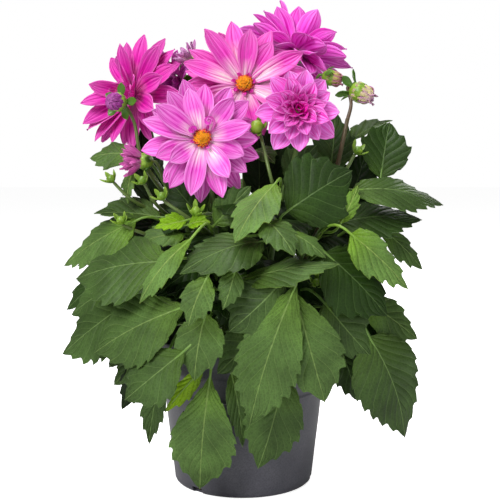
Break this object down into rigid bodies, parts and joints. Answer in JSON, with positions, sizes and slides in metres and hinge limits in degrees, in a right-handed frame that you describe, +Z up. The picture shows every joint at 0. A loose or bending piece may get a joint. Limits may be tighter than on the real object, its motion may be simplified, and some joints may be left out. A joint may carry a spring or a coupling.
{
  "type": "potted dahlia",
  "caption": "Bushy dahlia with pink-lilac open blooms, a double bloom, buds and toothed leaves on several stems, growing in a grey plastic nursery pot.",
  "frame": {"origin": "centre of the pot's flat base, on the surface it stands on", "axes": "+Z up along the pot's axis; +Y away from the viewer of the picture; +X to the viewer's right"},
  "size_m": [0.2853, 0.2567, 0.3772],
  "materials": {
    "pot": "satin moulded plastic, dark grey",
    "soil": "damp peat and bark compost",
    "foliage": "fresh green leaf, slightly waxy",
    "petals": "soft pink-lilac petal",
    "disc_florets": "orange-yellow florets"
  },
  "bodies": {
    "root": {"pot": "pot", "soil": "soil", "shoot_front_left": "foliage", "shoot_front_right": "foliage", "shoot_left": "foliage", "shoot_right": "foliage", "shoot_middle": "foliage", "shoot_back_left": "foliage", "shoot_back_right": "foliage", "shoot_back": "foliage", "bud_left_tip": "petals", "bud_low_left_tip": "petals", "bud_right_tip": "petals", "bud_top_left_tip": "petals", "bud_top_right_tip": "petals", "bloom_front": "petals", "bloom_middle": "petals", "bloom_double": "petals", "bloom_top_right": "petals", "bloom_left": "petals", "bloom_small": "petals", "disc_front": "disc_florets", "disc_middle": "disc_florets", "disc_top_right": "disc_florets", "disc_left": "disc_florets"}
  },
  "joints": []
}
